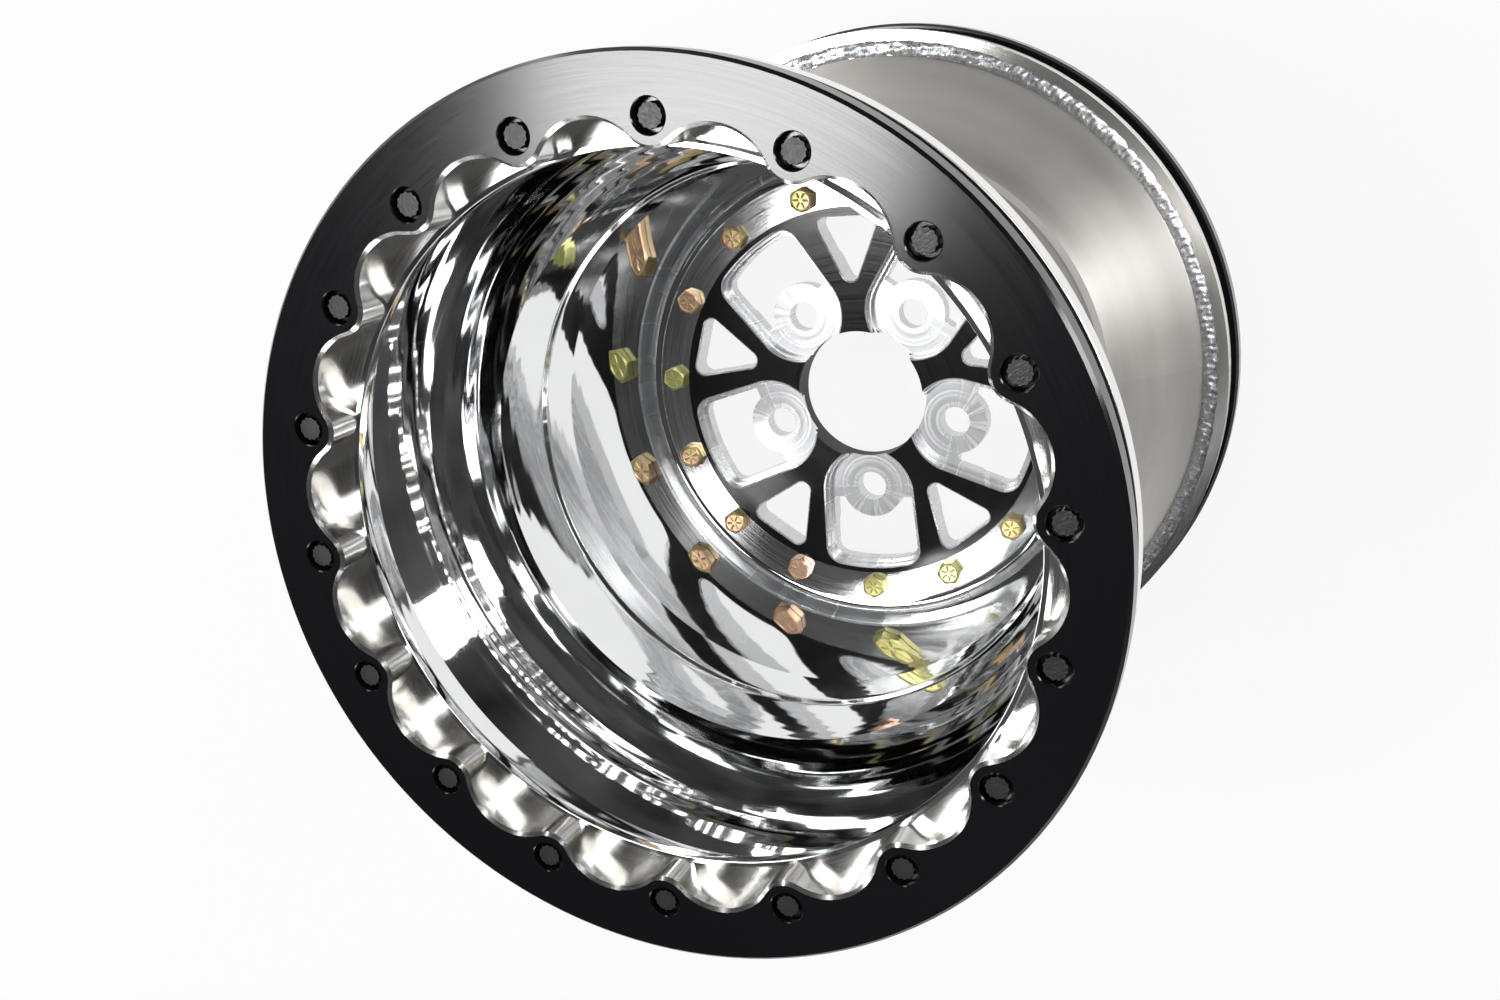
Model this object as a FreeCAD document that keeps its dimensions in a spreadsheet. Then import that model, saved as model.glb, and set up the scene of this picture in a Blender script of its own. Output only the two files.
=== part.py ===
import FreeCAD, Part
import math
import os
import re
import Sketcher

# A 15 x 14 inch drag racing wheel with a clamp ring at both bead seats. Its axis is Z and its face looks
# up. The origin is the centre of the hub mounting face, so the front clamp ring lies front_reach above it
# and the rear clamp ring lies backspace below it. One lug hole points along -Y.

document = FreeCAD.newDocument("drag_wheel")
sheet = document.addObject("Spreadsheet::Sheet", "Sizes")

# Driving dimensions: millimetres, degrees and counts
driving = {
    # overall
    "front_reach": 292.1,
    "backspace": 88.9,
    # clamp rings and their scalloped inner edge
    "ring_radius": 205.7,
    "ring_thickness": 12.7,
    "ring_edge": 1.5,
    "clamp_circle": 179.5,
    "clamp_count": 18,
    "clamp_phase": 3.76,
    "lobe_radius": 13.0,
    "valley_radius": 179.3,
    "tip_flat": 0.15,
    "scallop_chamfer": 1.6,
    # clamp bolts
    "counterbore_radius": 8.0,
    "counterbore_depth": 8.0,
    "clamp_bolt_radius": 3.97,
    "clamp_bolt_reach": 12.0,
    "clamp_flange_radius": 7.0,
    "clamp_flange_thickness": 1.6,
    "clamp_head_across": 9.5,
    "clamp_head_height": 4.8,
    "thread_depth": 14.0,
    # bead seats
    "bead_gap": 15.9,
    "bead_radius": 190.0,
    "shoulder_radius": 203.0,
    "shoulder_thickness": 11.0,
    # outer half: polished dish
    "rim_wall": 5.0,
    "lip_depth": 20.0,
    "lip_radius": 165.5,
    "lip_width": 2.5,
    "lip_height": 6.0,
    "base_pocket_depth": 13.5,
    "well_depth": 59.3,
    "flare_radius": 278.5,
    "hoop_depth": 123.0,
    "hoop_radius": 149.8,
    "hoop_fillet": 6.0,
    "hoop_taper": 2.4,
    "second_step_depth": 163.0,
    "second_step_drop": 2.0,
    "wall_depth": 191.0,
    "wall_taper": 0.9,
    "corner_radius": 135.5,
    "corner_fillet": 4.0,
    "valve_depth": 52.0,
    "valve_radius": 5.75,
    # flanges of the two halves
    "half_flange_thickness": 5.0,
    "flange_hole_radius": 108.0,
    "seal_chamfer": 3.0,
    # inner half
    "cone_start_drop": 9.0,
    "cone_start_radius": 143.0,
    "cone_end_radius": 188.5,
    "rear_web": 2.5,
    # center
    "center_thickness": 17.1,
    "center_flange_thickness": 6.0,
    "center_radius": 128.5,
    "center_edge": 1.0,
    "spigot_clearance": 0.3,
    "back_relief": 2.0,
    "hub_face_radius": 82.0,
    "bore_radius": 38.1,
    "bore_chamfer": 1.5,
    "lug_circle": 57.15,
    "lug_count": 5,
    "lug_hole_radius": 8.73,
    "pad_thickness": 9.5,
    "pad_radius": 19.0,
    "pad_root": 64.0,
    "terrace_depth": 3.6,
    "terrace_width": 1.6,
    "pocket_center": 60.0,
    "pocket_radius": 27.5,
    "window_half": 29.0,
    "window_end": 106.0,
    "window_corner": 10.0,
    "fork_in": 67.0,
    "fork_out": 104.0,
    "fork_half": 17.5,
    "fork_corner": 5.0,
    "window_chamfer": 0.8,
    # center bolts, washers and nuts
    "center_circle": 117.25,
    "center_count": 15,
    "center_bolt_radius": 3.97,
    "center_head_across": 12.7,
    "center_head_height": 5.6,
    "washer_radius": 8.7,
    "washer_thickness": 1.6,
    "nut_height": 6.7,
    "bolt_end": 2.5,
    # clearances
    "hole_clearance": 0.25,
    "thread_clearance": 0.05,
}
for row, (name, number) in enumerate(driving.items(), start=1):
    sheet.set("A%d" % row, name)
    sheet.set("B%d" % row, str(number))
    sheet.setAlias("B%d" % row, name)
document.recompute()


def bound(text):
    """Write an expression on the sheet's cells from one on the plain names."""
    return re.sub(r"[a-z_]+", lambda word: "Sizes." + word[0] if word[0] in driving else word[0], str(text))


def number_of(text):
    result = sheet.evalExpression(bound(text))
    return float(getattr(result, "Value", result))


# Places closer than this count as one
same_place = 0.001

# Expressions that several pieces share
lug_direction = "-90"
ring_back = "(front_reach - ring_thickness)"
shoulder_top = "(front_reach - ring_thickness - bead_gap)"
shoulder_base = "(front_reach - ring_thickness - bead_gap - shoulder_thickness)"
rear_ring_top = "(ring_thickness - backspace)"
rear_shoulder_base = "(ring_thickness + bead_gap - backspace)"
rear_shoulder_top = "(ring_thickness + bead_gap + shoulder_thickness - backspace)"
center_seat = "(center_thickness - center_flange_thickness)"
joint_plane = "(center_thickness - center_flange_thickness - half_flange_thickness)"
inner_flange_back = "(center_thickness - center_flange_thickness - 2 * half_flange_thickness)"
lobe_tip = "(clamp_circle - lobe_radius)"
ring_bore = "(clamp_circle - lobe_radius + tip_flat)"
clamp_hole = "(clamp_bolt_radius + hole_clearance)"
clamp_thread = "(clamp_bolt_radius + thread_clearance)"
center_hole = "(center_bolt_radius + hole_clearance)"
seam_radius = "(corner_radius + rim_wall)"
flange_stack = "(center_flange_thickness + 2 * half_flange_thickness)"


def polar(radius, angle):
    return "(%s) * cos(%s)" % (radius, angle), "(%s) * sin(%s)" % (radius, angle)


def origin_feature(body, role):
    return next(feature for feature in body.Origin.OriginFeatures if feature.Role == role)


def new_body(label):
    body = document.addObject("PartDesign::Body", label)
    body.Label = label
    body.AllowCompound = True
    return body


def new_sketch(body, name, role="XY_Plane", height="0"):
    sketch = body.newObject("Sketcher::SketchObject", name)
    sketch.AttachmentSupport = (origin_feature(body, role), "")
    sketch.MapMode = "FlatFace"
    if height != "0":
        sketch.setExpression("AttachmentOffset.Base.z", bound(height))
    return sketch


def fix_point(sketch, geometry, position, x, y):
    for kind, text, axis in (("DistanceX", x, -2), ("DistanceY", y, -1)):
        size = number_of(text)
        if str(text) == "0":
            sketch.addConstraint(Sketcher.Constraint("PointOnObject", geometry, position, axis))
            continue
        index = sketch.addConstraint(Sketcher.Constraint(kind, geometry, position, size))
        sketch.setExpression("Constraints[%d]" % index, bound(text))


def fix_radius(sketch, geometry, radius):
    index = sketch.addConstraint(Sketcher.Constraint("Radius", geometry, number_of(radius)))
    sketch.setExpression("Constraints[%d]" % index, bound(radius))


def arc_between(start, end, radius, turn):
    """Minor arc from start to end, counter-clockwise where turn is 1 and clockwise where it is -1."""
    chord = end - start
    rise = math.sqrt(max(radius ** 2 - chord.Length ** 2 / 4, 0.0))
    side = FreeCAD.Vector(-chord.y, chord.x, 0).normalize() * turn
    centre = (start + end) / 2 + side * rise
    ends = [math.atan2(point.y - centre.y, point.x - centre.x) for point in (start, end)]
    circle = Part.Circle(centre, FreeCAD.Vector(0, 0, 1), radius)
    return Part.ArcOfCircle(circle, *(ends if turn == 1 else reversed(ends)))


def draw_outline(sketch, corners):
    """Closed outline. A corner is (x, y), or (x, y, radius, turn) where an arc runs on to the next corner."""
    places = [FreeCAD.Vector(number_of(c[0]), number_of(c[1]), 0) for c in corners]
    runs = []
    for step, corner in enumerate(corners):
        start, end = places[step], places[(step + 1) % len(places)]
        if len(corner) == 2:
            runs.append((sketch.addGeometry(Part.LineSegment(start, end)), 1, 2))
            continue
        turn = corner[3]
        geometry = sketch.addGeometry(arc_between(start, end, number_of(corner[2]), turn))
        runs.append((geometry, 1, 2) if turn == 1 else (geometry, 2, 1))
    for step, (geometry, first, last) in enumerate(runs):
        following = runs[(step + 1) % len(runs)]
        sketch.addConstraint(Sketcher.Constraint("Coincident", geometry, last, following[0], following[1]))
        fix_point(sketch, geometry, first, corners[step][0], corners[step][1])
        if len(corners[step]) > 2:
            fix_radius(sketch, geometry, corners[step][2])


def draw_circle(sketch, x, y, radius):
    centre = FreeCAD.Vector(number_of(x), number_of(y), 0)
    geometry = sketch.addGeometry(Part.Circle(centre, FreeCAD.Vector(0, 0, 1), number_of(radius)))
    fix_point(sketch, geometry, 3, x, y)
    fix_radius(sketch, geometry, radius)


def draw_hexagon(sketch, x, y, across, turn="0"):
    radius = "(%s) / 2 / cos(30)" % across
    corners = []
    for step in range(6):
        dx, dy = polar(radius, "%d + %s" % (60 * step, turn))
        corners.append(("%s + %s" % (x, dx), "%s + %s" % (y, dy)))
    draw_outline(sketch, corners)


def revolve(body, name, corners):
    sketch = new_sketch(body, name + "_profile", "XZ_Plane")
    draw_outline(sketch, corners)
    feature = body.newObject("PartDesign::Revolution", name)
    feature.Profile = sketch
    feature.ReferenceAxis = (sketch, ["V_Axis"])
    feature.Angle = 360
    document.recompute()
    return feature


def pad(body, sketch, name, length, down=False):
    feature = body.newObject("PartDesign::Pad", name)
    feature.Profile = sketch
    feature.setExpression("Length", bound(length))
    feature.Reversed = down
    document.recompute()
    return feature


def pocket(body, sketch, name, depth=None, up=False):
    """Cut the sketch into the body, to a depth or right through, downwards or upwards."""
    before = body.Shape.Volume
    feature = body.newObject("PartDesign::Pocket", name)
    feature.Profile = sketch
    feature.Reversed = up
    if depth is None:
        feature.Type = "ThroughAll"
    else:
        feature.setExpression("Length", bound(depth))
    document.recompute()
    if body.Shape.Volume >= before:
        raise RuntimeError(name + " cuts nothing")
    return feature


def repeat(body, features, name, count):
    """Repeat features round the Z axis."""
    pattern = body.newObject("PartDesign::PolarPattern", name)
    pattern.Originals = features
    pattern.Axis = (origin_feature(body, "Z_Axis"), [""])
    pattern.Angle = 360
    pattern.setExpression("Occurrences", bound(count))
    body.Tip = pattern
    document.recompute()
    return pattern


def edges_where(shape, test):
    return ["Edge%d" % step for step, edge in enumerate(shape.Edges, start=1) if test(edge)]


def axis_distance(point):
    return math.hypot(point.x, point.y)


def lies_at(edge, height):
    levels = [vertex.Z for vertex in edge.Vertexes] + [edge.CenterOfMass.z]
    return all(abs(level - height) < same_place for level in levels)


def dress(body, kind, name, edges, size):
    """Chamfer or fillet the named edges of the body's tip."""
    base = body.Tip
    feature = body.newObject("PartDesign::" + kind, name)
    feature.Base = (base, edges)
    feature.setExpression("Size" if kind == "Chamfer" else "Radius", bound(size))
    body.Tip = feature
    document.recompute()
    return feature


# Scallops: each lobe is an arc round a clamp bolt, and each valley is an arc that is tangent to its two lobes
half_pitch = "180 / clamp_count"
axis_run = "clamp_circle * cos(%s)" % half_pitch
valley_arc = (
    "((clamp_circle ^ 2 + valley_radius ^ 2 - 2 * valley_radius * %s - lobe_radius ^ 2)"
    " / (2 * (lobe_radius + valley_radius - %s)))" % (axis_run, axis_run)
)


def valley_middle(step):
    return "(clamp_phase + %d * %s)" % (2 * step + 1, half_pitch)


def tangent_point(side, step=0):
    """Where a lobe runs into a valley: on the line of centres, one lobe radius from the bolt."""
    bolt = polar("clamp_circle", "%s %s %s" % (valley_middle(step), side, half_pitch))
    middle = polar("valley_radius - %s" % valley_arc, valley_middle(step))
    share = "lobe_radius / (lobe_radius + %s)" % valley_arc
    return tuple("(%s) + %s * ((%s) - (%s))" % (b, share, m, b) for b, m in zip(bolt, middle))


def scallop_loop():
    """Whole inner edge of a clamp ring: valley, lobe, valley, lobe and so on round the axis."""
    corners = []
    for step in range(round(number_of("clamp_count"))):
        corners.append(tangent_point("-", step) + (valley_arc, 1))
        corners.append(tangent_point("+", step) + ("lobe_radius", -1))
    return corners


def valley_outline(inner=None):
    """Space between two lobes, open towards the axis or ended by an arc of the inner radius."""
    middle = valley_middle(0)
    if inner is None:
        tips = [polar(lobe_tip, "%s %s %s" % (middle, side, half_pitch)) for side in "-+"]
        clear = lobe_tip + " - lobe_radius"
        inside = [polar(clear, "%s %s %s" % (middle, side, half_pitch)) for side in "+-"]
        closing = [tips[1], inside[0], inside[1]]
    else:
        reach = "(clamp_circle ^ 2 + (%s) ^ 2 - lobe_radius ^ 2) / (2 * clamp_circle * (%s))" % (inner, inner)
        swing = "acos(%s) / (1 deg)" % reach
        tips = [polar(inner, "%s - %s + %s" % (middle, half_pitch, swing)),
                polar(inner, "%s + %s - %s" % (middle, half_pitch, swing))]
        closing = [tips[1] + (inner, -1)]
    return [
        tips[0] + ("lobe_radius", -1),
        tangent_point("-") + (valley_arc, 1),
        tangent_point("+") + ("lobe_radius", -1),
    ] + closing


def ring_of_holes(body, name, height, circle, phase, radius, count, depth=None, up=False):
    sketch = new_sketch(body, name + "_sketch", height=height)
    draw_circle(sketch, *polar(circle, phase), radius)
    hole = pocket(body, sketch, name, depth, up)
    return repeat(body, [hole], name + "_pattern", count)


def clamp_ring(label, face, side):
    """Flat ring with counterbored bolt holes. side is 1 if its face looks up and -1 if it looks down."""
    body = new_body(label)
    sketch = new_sketch(body, label + "_sketch", height=face)
    draw_circle(sketch, "0", "0", "ring_radius")
    draw_outline(sketch, scallop_loop())
    pad(body, sketch, label + "_plate", "ring_thickness", down=side > 0)
    height = number_of(face)
    rim = number_of("ring_radius") - same_place
    dress(body, "Chamfer", label + "_scallop_chamfer", edges_where(body.Shape, lambda edge: (
        lies_at(edge, height) and axis_distance(edge.Vertexes[0].Point) < rim
    )), "scallop_chamfer")
    dress(body, "Chamfer", label + "_rim_chamfer", edges_where(body.Shape, lambda edge: (
        len(edge.Vertexes) == 1 and axis_distance(edge.Vertexes[0].Point) > rim
    )), "ring_edge")
    ring_of_holes(body, label + "_counterbore", face, "clamp_circle", "clamp_phase", "counterbore_radius",
                  "clamp_count", "counterbore_depth", side < 0)
    ring_of_holes(body, label + "_hole", face, "clamp_circle", "clamp_phase", clamp_hole,
                  "clamp_count", "ring_thickness", side < 0)
    return body


def clamp_bolts(label, face, side):
    """Twelve-point flange bolts, sunk in the counterbores of a clamp ring."""
    body = new_body(label)
    x, y = polar("clamp_circle", "clamp_phase")
    under_head = "%s - (%s) * counterbore_depth" % (face, side)
    parts = []
    shank = new_sketch(body, label + "_shank_sketch", height=under_head)
    draw_circle(shank, x, y, "clamp_bolt_radius")
    parts.append(pad(body, shank, label + "_shank",
                     "ring_thickness - counterbore_depth + clamp_bolt_reach", down=side > 0))
    flange = new_sketch(body, label + "_flange_sketch", height=under_head)
    draw_circle(flange, x, y, "clamp_flange_radius")
    parts.append(pad(body, flange, label + "_flange", "clamp_flange_thickness", down=side < 0))
    for step, turn in enumerate(("clamp_phase", "clamp_phase + 30")):
        head = new_sketch(body, "%s_head_sketch_%d" % (label, step), height=under_head)
        draw_hexagon(head, x, y, "clamp_head_across", turn)
        parts.append(pad(body, head, "%s_head_%d" % (label, step),
                         "clamp_flange_thickness + clamp_head_height", down=side < 0))
    repeat(body, parts, label + "_set", "clamp_count")
    return body


def outer_rim_half():
    """Dish from the front bead seat down to the bolted flange, with the scalloped clamp base at its mouth."""
    body = new_body("outer_rim_half")
    lip = "(front_reach - lip_depth)"
    well = "(front_reach - well_depth)"
    hoop = "(front_reach - hoop_depth)"
    second = "(front_reach - second_step_depth)"
    wall = "(front_reach - wall_depth)"
    second_radius = "(hoop_radius - hoop_taper - second_step_drop)"
    wall_radius = "(hoop_radius - hoop_taper - second_step_drop - wall_taper)"
    revolve(body, "outer_blank", [
        (ring_bore, ring_back),
        (ring_bore, lip),
        ("lip_radius", lip),
        ("lip_radius", lip + " - lip_height"),
        ("bead_radius - rim_wall", shoulder_base + " - rim_wall"),
        ("bead_radius - rim_wall", well, "flare_radius", 1),
        ("hoop_radius", hoop),
        ("hoop_radius - hoop_taper", second),
        (second_radius, second + " - second_step_drop"),
        (wall_radius, wall),
        ("corner_radius", center_seat),
        ("flange_hole_radius", center_seat),
        ("flange_hole_radius", joint_plane),
        (seam_radius + " - seal_chamfer", joint_plane),
        (seam_radius, joint_plane + " + seal_chamfer"),
        (wall_radius + " + rim_wall", wall),
        ("hoop_radius + rim_wall", hoop, "flare_radius - rim_wall", -1),
        ("bead_radius", well),
        ("bead_radius", shoulder_base),
        ("shoulder_radius", shoulder_base),
        ("shoulder_radius", shoulder_top),
        ("bead_radius", shoulder_top),
        ("bead_radius", ring_back),
    ])
    sketch = new_sketch(body, "outer_valley_sketch", height=ring_back)
    draw_outline(sketch, valley_outline())
    valley = pocket(body, sketch, "outer_valley", "lip_depth - ring_thickness")
    repeat(body, [valley], "outer_valleys", "clamp_count")
    sketch = new_sketch(body, "outer_pocket_sketch", height=ring_back)
    draw_outline(sketch, valley_outline("(lip_radius + lip_width)"))
    deep = pocket(body, sketch, "outer_pocket", "base_pocket_depth")
    repeat(body, [deep], "outer_pockets", "clamp_count")
    ring_of_holes(body, "outer_thread", ring_back, "clamp_circle", "clamp_phase", clamp_thread,
                  "clamp_count", "thread_depth")
    ring_of_holes(body, "outer_flange_hole", center_seat, "center_circle", lug_direction, center_hole,
                  "center_count", "half_flange_thickness")
    sketch = new_sketch(body, "valve_sketch", "YZ_Plane")
    draw_circle(sketch, "0", "front_reach - valve_depth", "valve_radius")
    pocket(body, sketch, "valve_hole", up=True)
    seat = number_of(center_seat)
    corner = number_of("corner_radius")
    dress(body, "Fillet", "outer_corner", edges_where(body.Shape, lambda edge: (
        lies_at(edge, seat) and abs(axis_distance(edge.Vertexes[0].Point) - corner) < same_place
    )), "corner_fillet")
    crest = number_of(hoop)
    crest_radius = number_of("hoop_radius")
    dress(body, "Fillet", "outer_hoop", edges_where(body.Shape, lambda edge: (
        lies_at(edge, crest) and abs(axis_distance(edge.Vertexes[0].Point) - crest_radius) < same_place
    )), "hoop_fillet")
    return body


def inner_rim_half():
    """Short cone from the bolted flange out to the rear bead seat, with its own clamp base."""
    body = new_body("inner_rim_half")
    cone_start = "(%s - cone_start_drop)" % joint_plane
    revolve(body, "inner_blank", [
        ("flange_hole_radius", inner_flange_back),
        ("corner_radius", inner_flange_back),
        ("cone_start_radius - rim_wall", cone_start + " - half_flange_thickness"),
        ("cone_end_radius - rim_wall", rear_shoulder_top + " - rear_web"),
        (ring_bore, rear_shoulder_top + " - rear_web"),
        (ring_bore, rear_ring_top),
        ("bead_radius", rear_ring_top),
        ("bead_radius", rear_shoulder_base),
        ("shoulder_radius", rear_shoulder_base),
        ("shoulder_radius", rear_shoulder_top),
        ("cone_end_radius", rear_shoulder_top),
        ("cone_start_radius", cone_start),
        (seam_radius, joint_plane + " - seal_chamfer"),
        (seam_radius + " - seal_chamfer", joint_plane),
        ("flange_hole_radius", joint_plane),
    ])
    sketch = new_sketch(body, "inner_valley_sketch", height=rear_ring_top)
    draw_outline(sketch, valley_outline())
    valley = pocket(body, sketch, "inner_valley", "base_pocket_depth", up=True)
    repeat(body, [valley], "inner_valleys", "clamp_count")
    ring_of_holes(body, "inner_thread", rear_ring_top, "clamp_circle", "clamp_phase", clamp_thread,
                  "clamp_count", "thread_depth", True)
    ring_of_holes(body, "inner_flange_hole", joint_plane, "center_circle", lug_direction, center_hole,
                  "center_count", "half_flange_thickness")
    return body


def joint_seal():
    """Bead of sealant that fills the groove where the two halves meet."""
    body = new_body("joint_seal")
    revolve(body, "seal_bead", [
        (seam_radius + " - seal_chamfer", joint_plane),
        (seam_radius, joint_plane + " - seal_chamfer"),
        (seam_radius, joint_plane + " + seal_chamfer"),
    ])
    return body


# Window outlines are drawn with the lug hole on -Y, and the fork windows on +Y
corner_side = "(window_half - window_corner)"
corner_run = "sqrt((window_end - window_corner) ^ 2 - (window_half - window_corner) ^ 2)"
corner_scale = "(window_end - (%s)) / (window_end - window_corner)"


def window_outer_end(inset):
    """Outer end of a window: two round corners and an arc round the wheel's axis."""
    reach = corner_scale % inset
    half = "(window_half - (%s))" % inset
    corner = "window_corner - (%s)" % inset
    return [
        ("-" + half, "-" + corner_run, corner, 1),
        ("-%s * %s" % (corner_side, reach), "-%s * %s" % (corner_run, reach), "window_end - (%s)" % inset, 1),
        ("%s * %s" % (corner_side, reach), "-%s * %s" % (corner_run, reach), corner, 1),
        (half, "-" + corner_run),
    ]


def lug_pocket_outline(inset):
    """Whole window with the round inner end that opens into the bore."""
    radius = "(pocket_radius - (%s))" % inset
    return window_outer_end(inset) + [
        (radius, "-pocket_center", radius, 1),
        ("0", "-(pocket_center - %s)" % radius, radius, 1),
        ("-" + radius, "-pocket_center"),
    ]


def through_window_outline(inset):
    """Open part of the window, outside the round pad that carries the lug hole."""
    slope = "(window_half - pocket_radius) * (pad_root - pocket_center) / (%s - pocket_center)" % corner_run
    half = "(pocket_radius - (%s) + %s)" % (inset, slope)
    pad_side = "sqrt(pad_radius ^ 2 - (pad_root - lug_circle) ^ 2)"
    return window_outer_end(inset) + [
        (half, "-pad_root"),
        (pad_side, "-pad_root", "pad_radius", -1),
        ("-" + pad_side, "-pad_root"),
        ("-" + half, "-pad_root"),
    ]


def fork_outline():
    """Rounded triangle where a spoke divides, with its point towards the axis."""
    side = "(fork_half - fork_corner)"
    run = "(fork_out - fork_in - 2 * fork_corner)"
    length = "sqrt(%s ^ 2 + %s ^ 2)" % (side, run)
    across = "fork_corner * %s / %s" % (run, length)
    along = "fork_corner * %s / %s" % (side, length)
    near = "fork_in + fork_corner"
    far = "fork_out - fork_corner"
    return [
        ("0", "fork_in", "fork_corner", 1),
        (across, "%s - %s" % (near, along)),
        ("%s + %s" % (side, across), "%s - %s" % (far, along), "fork_corner", 1),
        (side, "fork_out"),
        ("-" + side, "fork_out", "fork_corner", 1),
        ("-%s - %s" % (side, across), "%s - %s" % (far, along)),
        ("-" + across, "%s - %s" % (near, along), "fork_corner", 1),
    ]


def wheel_center():
    """Machined disc: hub face, lug pockets with large windows, fork windows and a bolted flange."""
    body = new_body("wheel_center")
    spigot = "(flange_hole_radius - spigot_clearance)"
    revolve(body, "center_blank", [
        ("bore_radius", "bore_chamfer"),
        ("bore_radius + bore_chamfer", "0"),
        ("hub_face_radius", "0"),
        ("hub_face_radius + back_relief", "back_relief"),
        (spigot, "back_relief"),
        (spigot, center_seat),
        ("center_radius", center_seat),
        ("center_radius", "center_thickness - center_edge"),
        ("center_radius - center_edge", "center_thickness"),
        ("bore_radius", "center_thickness"),
    ])
    steps = []
    cuts = (
        ("terrace", lug_pocket_outline("0"), "terrace_depth"),
        ("lug_pocket", lug_pocket_outline("terrace_width"), "center_thickness - pad_thickness"),
        ("window", through_window_outline("2 * terrace_width"), None),
    )
    for name, outline, depth in cuts:
        sketch = new_sketch(body, name + "_sketch", height="center_thickness")
        draw_outline(sketch, outline)
        steps.append(pocket(body, sketch, name, depth))
    fork = new_sketch(body, "fork_sketch", height="center_thickness")
    draw_outline(fork, fork_outline())
    steps.append(pocket(body, fork, "fork_window"))
    repeat(body, steps, "spokes", "lug_count")
    ring_of_holes(body, "lug_hole", "center_thickness", "lug_circle", lug_direction, "lug_hole_radius",
                  "lug_count")
    ring_of_holes(body, "center_flange_hole", "center_thickness", "center_circle", lug_direction, center_hole,
                  "center_count")
    front = number_of("center_thickness")
    bore = number_of("bore_radius") + same_place

    def borders_window(edge):
        """True on the front face, apart from the arcs of the bore and the full circles of the holes."""
        ends = [axis_distance(vertex.Point) for vertex in edge.Vertexes]
        return lies_at(edge, front) and len(ends) == 2 and max(ends) > bore

    dress(body, "Chamfer", "window_edges", edges_where(body.Shape, borders_window), "window_chamfer")
    return body


def center_bolts():
    """Hex bolts through the flanges of the center and the two halves."""
    body = new_body("center_bolts")
    x, y = polar("center_circle", lug_direction)
    head = new_sketch(body, "center_head_sketch", height="center_thickness")
    draw_hexagon(head, x, y, "center_head_across")
    head_pad = pad(body, head, "center_head", "center_head_height")
    shank = new_sketch(body, "center_shank_sketch", height="center_thickness")
    draw_circle(shank, x, y, "center_bolt_radius")
    shank_length = flange_stack + " + washer_thickness + nut_height + bolt_end"
    shank_pad = pad(body, shank, "center_shank", shank_length, down=True)
    repeat(body, [head_pad, shank_pad], "center_bolt_set", "center_count")
    return body


def center_washers():
    body = new_body("center_washers")
    x, y = polar("center_circle", lug_direction)
    sketch = new_sketch(body, "washer_sketch", height=inner_flange_back)
    draw_circle(sketch, x, y, "washer_radius")
    draw_circle(sketch, x, y, center_hole)
    disc = pad(body, sketch, "washer", "washer_thickness", down=True)
    repeat(body, [disc], "washer_set", "center_count")
    return body


def center_nuts():
    body = new_body("center_nuts")
    x, y = polar("center_circle", lug_direction)
    sketch = new_sketch(body, "nut_sketch", height=inner_flange_back + " - washer_thickness")
    draw_hexagon(sketch, x, y, "center_head_across")
    draw_circle(sketch, x, y, "center_bolt_radius + thread_clearance")
    block = pad(body, sketch, "nut", "nut_height", down=True)
    repeat(body, [block], "nut_set", "center_count")
    return body


pieces = [
    clamp_ring("front_clamp_ring", "front_reach", 1),
    clamp_bolts("front_clamp_bolts", "front_reach", 1),
    outer_rim_half(),
    joint_seal(),
    wheel_center(),
    center_bolts(),
    center_washers(),
    center_nuts(),
    inner_rim_half(),
    clamp_ring("rear_clamp_ring", "-backspace", -1),
    clamp_bolts("rear_clamp_bolts", "-backspace", -1),
]
document.recompute()

for item in document.Objects:
    if "Invalid" in item.State or "Error" in item.State:
        raise RuntimeError("%s failed: %s" % (item.Label, item.State))
for piece in pieces:
    if piece.Shape.isNull() or not piece.Shape.isValid():
        raise RuntimeError(piece.Label + " has no valid shape")

os.makedirs("parts", exist_ok=True)
for piece in pieces:
    piece.Shape.exportStep("parts/%s.step" % piece.Label)
    print("%-18s %2d solids %12.1f mm3" % (piece.Label, len(piece.Shape.Solids), piece.Shape.Volume))
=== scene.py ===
import bpy
import math
import numpy as np
from mathutils import Matrix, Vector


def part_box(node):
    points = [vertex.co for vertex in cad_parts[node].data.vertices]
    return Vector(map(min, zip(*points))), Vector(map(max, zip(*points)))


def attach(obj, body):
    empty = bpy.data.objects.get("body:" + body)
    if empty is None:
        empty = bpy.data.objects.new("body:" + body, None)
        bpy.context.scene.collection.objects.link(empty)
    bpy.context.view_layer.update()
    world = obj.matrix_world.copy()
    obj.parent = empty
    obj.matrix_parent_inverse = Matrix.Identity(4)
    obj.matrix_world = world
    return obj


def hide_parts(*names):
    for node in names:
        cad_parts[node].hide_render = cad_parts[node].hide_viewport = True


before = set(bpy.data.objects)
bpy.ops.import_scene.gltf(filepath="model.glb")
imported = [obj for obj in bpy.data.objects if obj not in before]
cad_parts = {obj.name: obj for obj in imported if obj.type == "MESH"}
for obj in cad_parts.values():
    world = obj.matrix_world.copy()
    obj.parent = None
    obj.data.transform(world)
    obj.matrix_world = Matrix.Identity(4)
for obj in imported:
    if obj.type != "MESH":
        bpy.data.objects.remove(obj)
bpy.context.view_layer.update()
scene = bpy.context.scene
scene.view_settings.view_transform = "Standard"
mm = 0.001
turn = 2 * math.pi
mergeStep = 0.002 * mm  # places nearer than this become one vertex
arcPoints = 9  # places along each rounded corner
print("frame loaded:", len(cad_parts), "nodes")

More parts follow.
